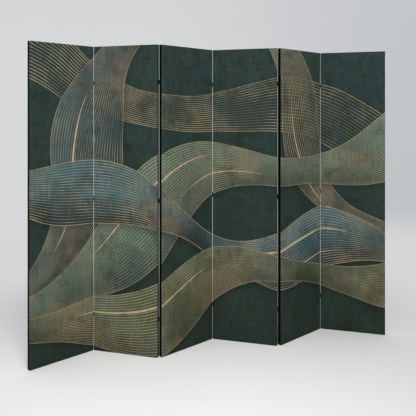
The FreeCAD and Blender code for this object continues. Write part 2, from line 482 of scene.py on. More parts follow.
@cache
def ribbon_group() -> NodeTree:
    """The paint of a ribbon: its shadow, its clouded body and its fine contour lines.

    Returns:
        A group that takes the print so far, what the course's group gives, and the ribbon's
        own tints and numbers, and gives the print with the ribbon painted over it.
    """
    writer = GroupWriter("ribbon_paint")
    under, low_tint, high_tint, patch_tint, shade_tint, line_tint = writer.takes(
        SocketKind.COLOUR,
        "Under", "Low Tint", "High Tint", "Patch Tint", "Shade Tint", "Line Tint",
    )
    (place,) = writer.takes(SocketKind.VECTOR, "Place")
    across, half, swelling, mottle = writer.takes(
        SocketKind.VALUE, "Across", "Half", "Swelling", "Mottle"
    )
    lines, line_width, ink, fill, shade, seed = writer.takes(
        SocketKind.VALUE, "Lines", "Line Width", "Ink", "Fill", "Shade", "Seed"
    )

    edge_softness = 0.006
    shadow_reach, shadow_start, shadow_strength = 50 * MILLIMETRE, (0.98, 1.0), 0.32
    away = abs(across)
    cover = away.ramp(1.0 + edge_softness, 1.0 - edge_softness)
    below = 0.0 - across
    shadow = below.ramp(1.0 + shadow_reach / half, 1.0) * below.ramp(*shadow_start)
    grounded = writer.mix(shadow * (1.0 - cover) * fill * shadow_strength, under, Ink.SHADOW)

    patches_per_metre, patch_span, patch_strength = 2.2, (0.53, 0.61), 0.6
    lit_span, mottle_strength = (0.05, 0.95), 0.9
    foot_span, foot_shade, waist_shade = (0.45, 1.05), 0.8, 0.75
    x, z, _ = writer.parts(place)
    seeded = writer.vector(x, z, seed)
    patches = writer.noise(seeded, patches_per_metre, detail=4.0)
    height_share = across * 0.5 + 0.5
    lit = (height_share + (mottle - 0.5) * mottle_strength).ramp(*lit_span)
    body = writer.mix(lit, low_tint, high_tint)
    body = writer.mix(patches.ramp(*patch_span) * patch_strength, body, patch_tint)
    foot = (1.0 - height_share).ramp(*foot_span) * foot_shade
    hollow = (foot + (1.0 - swelling) * waist_shade).at_most(1.0)
    body = writer.mix(hollow * shade, body, shade_tint)

    merged_below, open_above = 4 * MILLIMETRE, 9 * MILLIMETRE
    furrow_start, furrow_end, furrow_strength = (0.05, 0.25), (0.75, 0.25), 0.6
    clear_span = (0.62, 0.40)
    spacing = half * 2.0 / lines
    turns = across * lines * 0.5
    apart = spacing.ramp(merged_below, open_above)
    beside = turns.past_whole()
    furrow = beside.ramp(*furrow_start) * beside.ramp(*furrow_end) * apart
    shaded = furrow * patches.ramp(*clear_span) * furrow_strength
    filled = writer.mix(cover * fill, grounded, writer.mix(shaded, body, shade_tint))

    wear_per_metre, swell_span, kept_span = 4.6, (0.32, 0.66), (0.34, 0.60)
    thinnest, thickest, faintest = 0.65, 1.2, 0.4
    line_core, line_edge = 0.30, 0.62
    rim_at, rim_edge, rim_strength = 0.985, 0.8, 0.85
    wear = writer.noise(seeded, wear_per_metre)
    swell = wear.ramp(*swell_span) * (thickest - thinnest) + thinnest
    off_line = turns.off_whole() * spacing / swell
    line = off_line.ramp(line_width * line_edge, line_width * line_core)
    off_rim = abs(away - rim_at) * half / swell
    rim = off_rim.ramp(line_width * rim_edge, line_width * line_core)
    kept = wear.ramp(*kept_span) * (1.0 - faintest) + faintest
    drawn = (line * kept * apart).at_least(rim * rim_strength)
    lined = writer.mix(cover * drawn * ink, filled, line_tint)
    writer.gives(SocketKind.COLOUR, Print=lined)
    return writer.tree


def group_inputs(numbers: object, *left_out: str) -> dict[str, Feed]:
    """The fields of a dataclass as inputs for a node group."""
    names = [entry.name for entry in fields(numbers) if entry.name not in left_out]
    return {name.title(): getattr(numbers, name) for name in names}


@dataclass(frozen=True)
class Course:
    """The course of a ribbon, which rolls about a line that is turned round its pivot.

    Its half width goes from its depth down to its waist, a share of that, and back.
    """

    pivot: float
    level: float
    turn: float
    sway: float
    length: float
    phase: float
    bend: float
    depth: float
    waist: float
    waist_at: float
    waist_length: float


@dataclass(frozen=True)
class Stroke:
    """A tapered brush stroke along a ribbon."""

    at: float
    middle: float
    reach: float
    width: float


@dataclass(frozen=True)
class Ribbon:
    """One ribbon of the print."""

    course: Course
    lines: float
    fill: float
    shade: float
    low_tint: Colour
    high_tint: Colour
    patch_tint: Colour
    seed: float
    strokes: tuple[Stroke, ...] = ()
    ink: float = 0.85
    line_width: float = 3.4 * MILLIMETRE
    stroke_strength: ClassVar[float] = 0.9

    def paint(self, writer: NodeWriter, under: Signal, place: Signal, mottle: Signal) -> Signal:
        """Paints the ribbon over the print.

        Args:
            writer: Writer of the material.
            under: The print so far.
            place: The place on the opened screen.
            mottle: Cloudy variation of the inks.

        Returns:
            The print with the ribbon on it.
        """
        spot = writer.use(course_group(), Place=place, **group_inputs(self.course))
        painted = writer.use(
            ribbon_group(), Under=under, Place=place, Mottle=mottle, Across=spot["Across"],
            Half=spot["Half"], Swelling=spot["Swelling"], Shade_Tint=Ink.UMBER,
            Line_Tint=Ink.GOLD, **group_inputs(self, "course", "strokes"),
        )["Print"]
        for stroke in self.strokes:
            off = abs(spot["Across"] - stroke.at) * spot["Half"]
            numbers = group_inputs(stroke, "at")
            brushed = writer.use(stroke_group(), Off=off, Along=spot["Along"], **numbers)
            painted = writer.mix(brushed["Cover"] * self.stroke_strength, painted, Ink.PALE_GOLD)
        return painted


RIBBONS = (
    Ribbon(
        Course(
            pivot=1.10, level=1.38, turn=math.radians(-12), sway=0.12, length=2.1,
            phase=0.15, bend=0.0, depth=0.17, waist=0.55, waist_at=-0.30, waist_length=2.3,
        ),
        lines=18, fill=0.06, shade=0.1,
        low_tint=Ink.TEAL, high_tint=Ink.SLATE, patch_tint=Ink.TEAL, seed=21,
    ),
    Ribbon(
        Course(
            pivot=0.25, level=0.90, turn=math.radians(62), sway=0.10, length=1.7,
            phase=0.2, bend=0.05, depth=0.23, waist=0.35, waist_at=-0.55, waist_length=1.5,
        ),
        lines=28, fill=0.9, shade=0.55,
        low_tint=Ink.SLATE, high_tint=Ink.PALE_SLATE, patch_tint=Ink.BLUE, seed=22, ink=0.7,
        strokes=(Stroke(at=0.35, middle=0.1, reach=0.45, width=12 * MILLIMETRE),),
    ),
    Ribbon(
        Course(
            pivot=1.95, level=0.95, turn=math.radians(-52), sway=0.11, length=1.6,
            phase=0.4, bend=0.08, depth=0.17, waist=0.35, waist_at=0.3, waist_length=1.4,
        ),
        lines=20, fill=0.45, shade=0.3,
        low_tint=Ink.TEAL, high_tint=Ink.SLATE, patch_tint=Ink.OLIVE, seed=23,
        strokes=(Stroke(at=-0.4, middle=-0.2, reach=0.4, width=9 * MILLIMETRE),),
    ),
    Ribbon(
        Course(
            pivot=0.85, level=0.80, turn=math.radians(22), sway=0.12, length=1.75,
            phase=-0.2, bend=-0.10, depth=0.22, waist=0.35, waist_at=0.85, waist_length=1.9,
        ),
        lines=26, fill=0.97, shade=0.5,
        low_tint=Ink.SAGE, high_tint=Ink.PALE_SAGE, patch_tint=Ink.TEAL, seed=24, ink=0.7,
        strokes=(
            Stroke(at=0.45, middle=-0.1, reach=0.5, width=13 * MILLIMETRE),
            Stroke(at=-0.3, middle=0.35, reach=0.3, width=7 * MILLIMETRE),
        ),
    ),
    Ribbon(
        Course(
            pivot=1.55, level=0.55, turn=math.radians(-10), sway=0.09, length=1.5,
            phase=0.15, bend=0.06, depth=0.19, waist=0.25, waist_at=-0.5, waist_length=1.5,
        ),
        lines=22, fill=0.95, shade=0.8,
        low_tint=Ink.BLUE, high_tint=Ink.PALE_BLUE, patch_tint=Ink.SLATE, seed=25, ink=0.95,
        strokes=(
            Stroke(at=0.3, middle=0.1, reach=0.42, width=13 * MILLIMETRE),
            Stroke(at=-0.45, middle=0.2, reach=0.3, width=7 * MILLIMETRE),
        ),
    ),
    Ribbon(
        Course(
            pivot=0.70, level=0.28, turn=math.radians(9), sway=0.10, length=1.6,
            phase=0.3, bend=-0.06, depth=0.19, waist=0.30, waist_at=1.05, waist_length=1.9,
        ),
        lines=24, fill=0.97, shade=0.45,
        low_tint=Ink.OLIVE, high_tint=Ink.PALE_OLIVE, patch_tint=Ink.SAGE, seed=26, ink=0.75,
        strokes=(Stroke(at=0.4, middle=0.0, reach=0.45, width=11 * MILLIMETRE),),
    ),
)


@dataclass(frozen=True)
class Blotches:
    """Cloudy marks of one tone: how many fit in a metre, how rough they are and how strong."""

    scale: float
    detail: float
    roughness: float
    span: Range
    strength: float
    tone: Colour

    def stain(self, writer: NodeWriter, place: Signal, under: Signal) -> Signal:
        """Lays the marks over a colour where the noise rises through their span."""
        noise = writer.noise(place, self.scale, self.detail, self.roughness)
        return writer.mix(noise.ramp(*self.span) * self.strength, under, self.tone)


class Side(Enum):
    """The two sides of a panel that carry canvas."""

    FRONT = "front"
    BACK = "back"


class Finish:
    """A finish that makes its material once and dresses pieces with it."""

    name: str
    slot: str

    def sockets(self, writer: NodeWriter) -> dict[str, Feed]:
        """What the shader's sockets are fed with, by their names."""
        raise NotImplementedError

    @cache
    def material(self) -> Material:
        """Makes the material.

        Returns:
            The material, the same one at every call.
        """
        made = bpy.data.materials.new(self.name)
        made.use_nodes = True
        writer = NodeWriter(made.node_tree)
        writer.show(writer.result("BsdfPrincipled", self.sockets(writer)))
        return made

    def dress(self, piece: Object) -> None:
        """Gives the material to every face of a piece.

        Args:
            piece: The piece.
        """
        piece.data.materials.clear()
        piece.data.materials.append(self.material())


@dataclass(frozen=True)
class CanvasFinish(Finish):
    """Matt ink on cotton canvas: the front carries the ribbons, the back the plain ground."""

    side: Side
    roughness: float = 0.86
    specular: float = 0.05
    pitch: float = 0.9 * MILLIMETRE
    weave_depth: float = 0.15 * MILLIMETRE
    top: float = 1.7
    cloud_scale: float = 2.6
    cloud_span: Range = (0.34, 0.66)
    cloud_strength: float = 0.45
    band_scales: Triple = (5.0, 0.9, 1.0)
    band_span: Range = (0.42, 0.56)
    band_share: float = 0.25
    streak_span: Range = (0.3, 0.7)
    streak_strength: float = 0.5
    gap_strength: float = 0.35
    dullness: float = 0.08
    drift_scale: float = 1.7
    drift: float = 80 * MILLIMETRE
    age_marks: tuple[Blotches, ...] = (
        Blotches(scale=17.0, detail=4.0, roughness=0.68, span=(0.46, 0.62), strength=0.5, tone=Ink.MOSS),
        Blotches(scale=5.5, detail=6.0, roughness=0.7, span=(0.50, 0.66), strength=0.45, tone=Ink.SPOT),
        Blotches(scale=34.0, detail=3.0, roughness=0.7, span=(0.62, 0.74), strength=0.55, tone=Ink.SPOT),
    )
    smudges: Blotches = Blotches(
        scale=7.5, detail=7.0, roughness=0.78, span=(0.54, 0.60), strength=0.34, tone=Ink.SMUDGE
    )
    slot = "printed_canvas"

    @property
    def name(self) -> str:
        """The material's name."""
        return f"{self.side.value}_canvas"

    def sockets(self, writer: NodeWriter) -> dict[str, Feed]:
        """What the shader's sockets are fed with.

        Args:
            writer: Writer of the material.

        Returns:
            The signals and values by the sockets' names.
        """
        place = writer.result("UVMap", {}, uv_map=PRINT_MAP)
        weave = writer.use(weave_group(), Place=place, Pitch=self.pitch)
        clouds = writer.noise(place, self.cloud_scale, detail=6.0, roughness=0.66)
        clouded = clouds.ramp(*self.cloud_span) * (1.0 - self.band_share)
        band_place = writer.stretched(place, self.band_scales, move=(2.0, 5.0, 0.0))
        bands = writer.noise(band_place, detail=2.0, roughness=0.4)
        mottle = clouded + bands.ramp(*self.band_span) * self.band_share
        ink = self.ground(writer, place, mottle)
        if self.side is Side.FRONT:
            ink = self.ribbons(writer, place, mottle, ink)
        streaks = weave["Streaks"].ramp(*self.streak_span)
        threads = writer.mix(streaks, Tone.THREAD_GAP, Tone.THREAD)
        toned = writer.mix(self.streak_strength, ink, threads, blend="OVERLAY")
        smudged = self.smudges.stain(writer, place, toned)
        # Painted shade: the base colour darkens towards Ink.SHADOW in the gaps between the threads and
        # on their flanks.
        between = weave["Threads"].ramp(1.0, 0.0)
        return {
            "Base Color": writer.mix(between * self.gap_strength, smudged, Ink.SHADOW),
            "Roughness": streaks * self.dullness + self.roughness,
            "Specular IOR Level": self.specular,
            "Normal": writer.bump(weave["Height"], self.weave_depth, strength=0.5),
        }

    def ground(self, writer: NodeWriter, place: Signal, mottle: Signal) -> Signal:
        """The aged ground of the print.

        Args:
            writer: Writer of the material.
            place: The place on the opened screen.
            mottle: Cloudy variation of the inks.

        Returns:
            The ground's colour.
        """
        _, up, _ = writer.parts(place)
        ground = writer.mix(up.ramp(0.0, self.top), Ink.GROUND_FOOT, Ink.GROUND_TOP)
        ground = writer.mix(mottle * self.cloud_strength, ground, Ink.GROUND_CLOUD)
        for marks in self.age_marks:
            ground = marks.stain(writer, place, ground)
        return ground

    def ribbons(self, writer: NodeWriter, place: Signal, mottle: Signal, ink: Signal) -> Signal:
        """Paints the ribbons, whose lines drift a little as drawn ones do.

        Args:
            writer: Writer of the material.
            place: The place on the opened screen.
            mottle: Cloudy variation of the inks.
            ink: The ground's colour.

        Returns:
            The print.
        """
        shifted = writer.stretched(place, (1.0, 1.0, 1.0), move=(3.0, 7.0, 0.0))
        noise = writer.noise(shifted, self.drift_scale, detail=1.0, roughness=0.5)
        drift = (noise - 0.5) * self.drift
        along, up, _ = writer.parts(place)
        drifted = writer.vector(along + drift, up + drift)
        for ribbon in RIBBONS:
            ink = ribbon.paint(writer, ink, drifted, mottle)
        return ink


@dataclass(frozen=True)
class PaintFinish(Finish):
    """Satin black paint over wood, with the grain faint beneath it and thin along the arrises."""

    roughness: float = 0.56
    specular: float = 0.02
    dullness: float = 0.14
    arris_shine: float = 0.08
    arris_wear: float = 0.7
    grain_scales: Triple = (420.0, 11.0, 1.0)
    grain_span: Range = (0.50, 0.74)
    grain_strength: float = 0.5
    grain_share: float = 0.8
    grain_depth: float = 0.15 * MILLIMETRE
    mark_scale: float = 46.0
    name = slot = "painted_frame"

    def sockets(self, writer: NodeWriter) -> dict[str, Feed]:
        """What the shader's sockets are fed with.

        Args:
            writer: Writer of the material.

        Returns:
            The signals and values by the sockets' names.
        """
        place = writer.result("UVMap", {}, uv_map=GRAIN_MAP)
        arris = writer.out(writer.node("Attribute", {}, attribute_name=ARRIS_MARK), "Fac")
        grain = writer.noise(writer.stretched(place, self.grain_scales), detail=4.0)
        rubbed = writer.use(rubbing_group(), Place=place, Scale=self.mark_scale)
        tone = writer.mix(rubbed["Cloud"], Tone.PAINT, Tone.PAINT_CLOUD)
        pores = grain.ramp(*self.grain_span) * self.grain_strength
        grained = writer.mix(pores, tone, Tone.GRAIN)
        worn = arris * rubbed["Rubbed"] * self.arris_wear
        dulled = rubbed["Cloud"] * self.dullness + self.roughness
        height = grain * self.grain_share + rubbed["Fine"] * (1.0 - self.grain_share)
        return {
            "Base Color": writer.mix(worn, grained, Tone.WORN_WOOD),
            "Roughness": dulled - arris * self.arris_shine,
            "Specular IOR Level": self.specular,
            "Normal": writer.bump(height, self.grain_depth, strength=0.45),
        }


@dataclass(frozen=True)
class LacquerFinish(Finish):
    """Black lacquer on steel, rubbed through where it is handled or turns."""

    name: str
    roughness: float
    tone: float
    bare: float
    tone_spread: float = 5
    dullness: float = 0.16
    specular: float = 0.14
    mark_scale: float = 480.0
    dent_depth: float = 0.03 * MILLIMETRE

    @property
    def slot(self) -> str:
        """The slot, which has the material's name."""
        return self.name

    def sockets(self, writer: NodeWriter) -> dict[str, Feed]:
        """What the shader's sockets are fed with.

        Args:
            writer: Writer of the material.

        Returns:
            The signals and values by the sockets' names.
        """
        place = writer.out(writer.node("TexCoord", {}), "Object")
        rubbed = writer.use(rubbing_group(), Place=place, Scale=self.mark_scale)
        tones = (self.tone, self.tone + self.tone_spread)
        dark, light = (tint(tone, tone, tone + 1) for tone in tones)
        lacquer = writer.mix(rubbed["Cloud"], dark, light)
        bared = rubbed["Rubbed"] * self.bare
        return {
            "Base Color": writer.mix(bared, lacquer, Tone.WORN_STEEL),
            "Metallic": bared,
            "Roughness": rubbed["Fine"] * self.dullness + self.roughness,
            "Specular IOR Level": self.specular,
            "Normal": writer.bump(rubbed["Fine"], self.dent_depth, strength=0.4),
        }


class Metal(Enum):
    """The finishes of the steel pieces."""

    LEAF = LacquerFinish("hinge_metal", roughness=0.48, tone=14, bare=0.18)
    PIN = LacquerFinish("pin_metal", roughness=0.34, tone=20, bare=0.6)
    SCREW = LacquerFinish("screw_metal", roughness=0.36, tone=19, bare=0.4)


class Member(Enum):
    """The members of a panel's frame, by the names that their nodes end with."""

    LEFT_STILE = "left_stile"
    RIGHT_STILE = "right_stile"
    END_RAILS = "end_rails"
    MIDDLE_RAIL = "middle_rail"

    @property
    def is_upright(self) -> bool:
        """Whether the member stands, with its grain running upwards."""
        return self in (Member.LEFT_STILE, Member.RIGHT_STILE)


@dataclass(frozen=True)
class HingeSizes:
    """Sizes of the small butt hinges, measured from the pin."""

    height: float = 25 * MILLIMETRE
    from_end: float = 204 * MILLIMETRE
    leaf_width: float = 12 * MILLIMETRE
    leaf_thickness: float = 0.75 * MILLIMETRE
    knuckle_radius: float = 1.5 * MILLIMETRE
    knuckle_count: int = 3
    knuckle_play: float = 0.15 * MILLIMETRE
    curl_seam: float = 0.15 * MILLIMETRE
    notch_clearance: float = 0.3 * MILLIMETRE
    housing_clearance: float = 0.2 * MILLIMETRE
    pin_clearance: float = 0.05 * MILLIMETRE
    pin_overhang: float = 0.5 * MILLIMETRE
    screw_radius: float = 1.25 * MILLIMETRE
    screw_length: float = 10 * MILLIMETRE
    screw_from_pin: float = 7 * MILLIMETRE
    screw_from_end: float = 5.5 * MILLIMETRE
    screw_clearance: float = 0.05 * MILLIMETRE

    @property
    def bore_radius(self) -> float:
        """Radius of the bore that the pin goes through."""
        return self.knuckle_radius - self.leaf_thickness

    @property
    def knuckle_pitch(self) -> float:
        """Height from the start of one knuckle to the start of the next."""
        return (self.height + self.knuckle_play) / self.knuckle_count

    @property
    def room(self) -> float:
        """How far from the pin the notches beside the knuckles reach."""
        return self.knuckle_radius + self.notch_clearance

    @property
    def head_radius(self) -> float:
        """Radius of a screw's head."""
        return self.screw_radius + self.leaf_thickness

    @property
    def screw_heights(self) -> Range:
        """The heights of a leaf's two screws above its lower end."""
        return self.screw_from_end, self.height - self.screw_from_end


@dataclass(frozen=True)
class Panel:
    """One panel of the screen and its place in the zigzag."""

    number: int
    count: int = 6
    width: float = 381 * MILLIMETRE
    height: float = 1700 * MILLIMETRE
    depth: float = 21 * MILLIMETRE
    gap: float = 1.2 * MILLIMETRE
    pin_proud: float = 0.3 * MILLIMETRE
    fold: float = math.radians(29.6)
    member_width: float = 30 * MILLIMETRE
    foot_radius: float = 6 * MILLIMETRE
    canvas_thickness: float = 0.5 * MILLIMETRE
    hinge: HingeSizes = HingeSizes()

    @property
    def body(self) -> str:
        """The CAD body that the panel is."""
        return f"panel_{self.number}"

    @property
    def joints(self) -> list[int]:
        """The joints at the panel's left and right edges, as far as it has them."""
        return [joint for joint in (self.number - 1, self.number) if 0 < joint < self.count]

    @property
    def open_width(self) -> Range:
        """Where the openings between the stiles begin and end along the width."""
        return self.member_width, self.width - self.member_width

    @property
    def open_heights(self) -> tuple[Range, Range]:
        """Where the openings below and above the middle rail begin and end."""
        rail = (self.height - self.member_width) / 2, (self.height + self.member_width) / 2
        return (self.member_width, rail[0]), (rail[1], self.height - self.member_width)

    @property
    def hinge_bottoms(self) -> list[float]:
        """The heights at which the hinges of an edge begin."""
        centres = (self.hinge.from_end, self.height / 2, self.height - self.hinge.from_end)
        return [centre - self.hinge.height / 2 for centre in centres]

    def pin_point(self, joint: int) -> Vector:
        """Where the pins of a joint stand in the panel's own frame.

        Args:
            joint: Number of the joint, which is to the panel's right if it is the panel's own.

        Returns:
            The foot of the pins' line.
        """
        x = self.width + self.gap / 2 if joint == self.number else -self.gap / 2
        y = -self.pin_proud if joint % 2 else self.depth + self.pin_proud
        return Vector((x, y, 0))

    def placement(self) -> Matrix:
        """Where the panel stands, with odd panels turned one way and even ones the other.

        Returns:
            The turn and the move that put it there.
        """
        joint = max(1, self.number - 1)
        pins = Vector(frame["joints"][joint - 1]["pos_m"])
        pins.z = 0
        rotation = Matrix.Rotation(self.fold if self.number % 2 else -self.fold, 4, "Z")
        return Matrix.Translation(pins - rotation @ self.pin_point(joint)) @ rotation


def add_object(name: str, data: ID) -> Object:
    """Makes an object and adds it to the scene.

    Args:
        name: Name of the object.
        data: Its mesh, lamp or camera.

    Returns:
        The object.
    """
    made = bpy.data.objects.new(name, data)
    bpy.context.scene.collection.objects.link(made)
    return made


def set_in_place(bm: BMesh, name: str, placement: Matrix) -> Object:
    """Makes an object of a mesh, with its place in the mesh.

    Args:
        bm: The finished mesh in its own frame, which is freed here.
        name: Name of the object.
        placement: Where the mesh goes.

    Returns:
        The object, at the origin.
    """
    ops.transform(bm, matrix=placement, verts=bm.verts)
    for face in bm.faces:
        face.smooth = True
    mesh = bpy.data.meshes.new(name)
    bm.to_mesh(mesh)
    bm.free()
    mesh.set_sharp_from_angle(angle=SMOOTH_BELOW)
    return add_object(name, mesh)


def hang(
    bm: BMesh, name: str, finish: Finish, body: str, node: str, placement: Matrix = AS_BUILT
) -> Object:
    """Makes a dressed piece that moves with a body.

    Args:
        bm: The finished mesh, which is freed here.
        name: Name of the piece.
        finish: What the piece is dressed with.
        body: The body that the piece moves with.
        node: The CAD node that the piece takes the place of.
        placement: Where the mesh goes.

    Returns:
        The finished piece.
    """
    piece = set_in_place(bm, name, placement)
    finish.dress(piece)
    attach(piece, body)
    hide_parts(node)
    log.info("%s: %d faces", name, len(piece.data.polygons))
    return piece


def is_below(axis: Vector, line: float) -> FaceTest:
    """A test for faces whose middle lies below a line across an axis."""
    return lambda face: face.calc_center_median().dot(axis) < line


def is_above(axis: Vector, line: float) -> FaceTest:
    """A test for faces whose middle lies above a line across an axis."""
    return lambda face: face.calc_center_median().dot(axis) > line


def is_at(face: BMFace, heights: Iterable[Range]) -> bool:
    """Whether a face's middle lies within one of some spans of height."""
    return any(low < face.calc_center_median().z < high for low, high in heights)


def flat_sheet(width: float, length: float, placement: Matrix) -> BMesh:
    """Makes a sheet of one face.

    Args:
        width: Its size along x.
        length: Its size along y.
        placement: Where it goes from its place about the origin.

    Returns:
        The sheet.
    """
    bm = bmesh.new()
    ops.create_grid(bm, x_segments=1, y_segments=1, size=0.5)
    ops.scale(bm, vec=(width, length, 1), verts=bm.verts)
    ops.transform(bm, matrix=placement, verts=bm.verts)
    return bm


def cut_across(
    bm: BMesh, axis: Vector, places: Iterable[float], only: FaceTest | None = None
) -> None:
    """Cuts the mesh square to an axis at each place along it.

    Args:
        bm: The mesh.
        axis: The axis, as a vector of length 1.
        places: Where the cuts go, measured along the axis.
        only: A test for the faces that are cut, or None for all of them.
    """
    for place in places:
        faces = [face for face in bm.faces if only is None or only(face)]
        edges = {edge: None for face in faces for edge in face.edges}
        verts = {vert: None for face in faces for vert in face.verts}
        ops.bisect_plane(
            bm, geom=[*verts, *edges, *faces], dist=CUT_WITHIN, plane_co=axis * place, plane_no=axis
        )


def even_steps(low: float, high: float, count: int) -> list[float]:
    """The places that cut a length into a count of equal parts."""
    return [low + (high - low) * step / count for step in range(1, count)]


def sharp_edges(bm: BMesh) -> list[BMEdge]:
    """The edges at which two faces meet at a clear angle."""
    return [edge for edge in bm.edges if edge.calc_face_angle(0) > SHARP_ABOVE]


def round_off(
    bm: BMesh, geom: Sequence[BMEdge] | Sequence[BMVert], offset: float, segments: int,
    clamped: bool = False,
) -> list[BMFace]:
    """Rounds edges, or the corners of a sheet.

    Args:
        bm: The mesh.
        geom: The edges, or the corners.
        offset: How far the rounding reaches to each side.
        segments: How many flats it has.
        clamped: Whether roundings stop before they run into each other.

    Returns:
        The faces of the rounding.
    """
    made = ops.bevel(
        bm, geom=geom, affect="VERTICES" if isinstance(geom[0], BMVert) else "EDGES",
        offset=offset, offset_type="OFFSET", segments=segments, profile=0.5,
        clamp_overlap=clamped, material=-1,
    )
    return made["faces"]


def lay_map(bm: BMesh, name: str, place: Callable[[Vector], Range]) -> None:
    """Gives every corner of a mesh its place on a map, in metres.

    Args:
        bm: The mesh.
        name: Name of the map.
        place: Turns a point of the mesh into its place on the map.
    """
    layer = bm.loops.layers.uv.new(name)
    for face in bm.faces:
        for loop in face.loops:
            loop[layer].uv = place(loop.vert.co)


def repeat(bm: BMesh, places: Sequence[Matrix]) -> None:
    """Replaces a mesh by copies of it, and turns mirrored copies the right side out.

    Args:
        bm: The mesh of one piece.
        places: Where the copies go.
    """
    original = [*bm.verts, *bm.edges, *bm.faces]
    first = list(bm.verts)
    for place in places:
        copied = ops.duplicate(bm, geom=original)["geom"]
        verts = [item for item in copied if isinstance(item, BMVert)]
        faces = [item for item in copied if isinstance(item, BMFace)]
        ops.transform(bm, matrix=place, verts=verts)
        if place.determinant() < 0:
            ops.reverse_faces(bm, faces=faces)
    ops.delete(bm, geom=first, context="VERTS")


@dataclass
class HingeEdge:
    """The edge of a panel at one of its joints, which carries three hinge leaves."""

    panel: Panel
    joint: int

    @property
    def is_right(self) -> bool:
        """Whether this is the panel's right edge."""
        return self.joint == self.panel.number

    def leaf_frames(self) -> list[Matrix]:
        """The frames of the edge's leaves where the screen stands.

        Returns:
            The frames from the lowest leaf up, some of them mirrored.
        """
        handing = Matrix.Diagonal((-1 if self.is_right else 1, 1 if self.joint % 2 else -1, 1, 1))
        foot = self.panel.pin_point(self.joint)
        return [
            self.panel.placement() @ Matrix.Translation(foot + bottom * UP) @ handing
            for bottom in self.panel.hinge_bottoms
        ]


@dataclass
class CanvasSheet:
    """A canvas stretched over one side of a panel's frame and glued to it.

    The dip is how far it sinks in the middle of an opening. The lower its powers across and up
    the opening are, the more of the canvas sinks that far.
    """

    panel: Panel
    side: Side
    trim: float = 0.1 * MILLIMETRE
    corner_flats: int = 6
    rim_radius: float = 0.22 * MILLIMETRE
    rim_flats: int = 2
    dip: float = 0.45 * MILLIMETRE
    dip_powers: Range = (0.5, 0.35)
    columns: int = 12
    rows: int = 48

    def flat_size(self) -> Range:
        """Width and length of the cut sheet."""
        return self.panel.width - 2 * self.trim, self.panel.height - 2 * self.trim

    def sink(self, x: float, z: float) -> float:
        """How far the canvas sinks between the members of the frame.

        Args:
            x: Place along the panel's width.
            z: Height above the foot.

        Returns:
            The depth below the plane of the frame's face.
        """
        for heights in self.panel.open_heights:
            spans = (self.panel.open_width, heights)
            shares = [(at - low) / (high - low) for at, (low, high) in zip((x, z), spans)]
            if all(0 < share < 1 for share in shares):
                powers = zip(shares, self.dip_powers)
                bowls = [math.sin(math.pi * share) ** power for share, power in powers]
                return self.dip * math.prod(bowls)
        return 0.0

    def notched_edges(self) -> tuple[bool, bool]:
        """Tells at which edges the sheet is notched for knuckles.

        Returns:
            Whether it is at its left and at its right edge, seen from outside.
        """
        notched = []
        for joint in (self.panel.number - 1, self.panel.number):
            pin_side = Side.FRONT if joint % 2 else Side.BACK
            notched.append(joint in self.panel.joints and pin_side is self.side)
        left, right = notched if self.side is Side.FRONT else reversed(notched)
        return left, right

    def cut_notches(self, bm: BMesh) -> None:
        """Cuts the notches in which the hinge knuckles turn.

        Args:
            bm: The flat sheet, as the front canvas of its panel.
        """
        panel, hinge = self.panel, self.panel.hinge
        depth = hinge.room - panel.gap / 2
        reach = hinge.pin_overhang + hinge.housing_clearance
        spans = [(low - reach, low + hinge.height + reach) for low in panel.hinge_bottoms]
        lines = (depth, panel.width - depth)
        outsides = (is_below(ALONG, lines[0]), is_above(ALONG, lines[1]))
        for notched, line, outside in zip(self.notched_edges(), lines, outsides):
            if notched:
                cut_across(bm, ALONG, [line])
                cut_across(bm, UP, [z for span in spans for z in span], outside)
                waste = [face for face in bm.faces if outside(face) and is_at(face, spans)]
                ops.delete(bm, geom=waste, context="FACES")

    def mesh(self) -> BMesh:
        """Cuts the sheet, lets it sink, thickens it, rolls its rim and maps the print on it.

        Returns:
            The sheet as the front canvas of its panel, in the panel's frame.
        """
        panel = self.panel
        centre = Matrix.Translation((panel.width / 2, 0, panel.height / 2))
        bm = flat_sheet(*self.flat_size(), centre @ Matrix.Rotation(math.pi / 2, 4, "X"))
        corners = [vert for vert in bm.verts if vert.co.z < panel.height / 2]
        round_off(bm, corners, panel.foot_radius - self.trim, self.corner_flats)
        open_height = (panel.member_width, panel.height - panel.member_width)
        spans = ((ALONG, panel.open_width, self.columns), (UP, open_height, self.rows))
        for axis, span, count in spans:
            cut_across(bm, axis, [*span, *even_steps(*span, count)])
        self.cut_notches(bm)
        for vert in bm.verts:
            vert.co.y = self.sink(vert.co.x, vert.co.z)
        ops.recalc_face_normals(bm, faces=bm.faces)
        if next(iter(bm.faces)).normal.y > 0:
            ops.reverse_faces(bm, faces=bm.faces)
        ops.solidify(bm, geom=bm.faces, thickness=panel.canvas_thickness)
        middle = panel.canvas_thickness / 2
        edges = sharp_edges(bm)
        rim = [edge for edge in edges if all(vert.co.y < middle for vert in edge.verts)]
        round_off(bm, rim, self.rim_radius, self.rim_flats)
        start = (panel.number - 1) * (panel.width + panel.gap)
        lay_map(bm, PRINT_MAP, lambda point: (start + point.x, point.z))
        return bm

    def build(self) -> None:
        """Makes the sheet, dresses it and hangs it on its panel."""
        panel, side = self.panel, self.side.value
        placement = panel.placement()
        if self.side is Side.BACK:
            middle = Matrix.Translation((panel.width / 2, panel.depth / 2, 0))
            placement = placement @ middle @ Matrix.Rotation(math.pi, 4, "Z") @ middle.inverted()
        piece = hang(
            self.mesh(), f"{side}_canvas_{panel.number}", CanvasFinish(self.side), panel.body,
            f"{panel.body}_{side}_canvas", placement,
        )


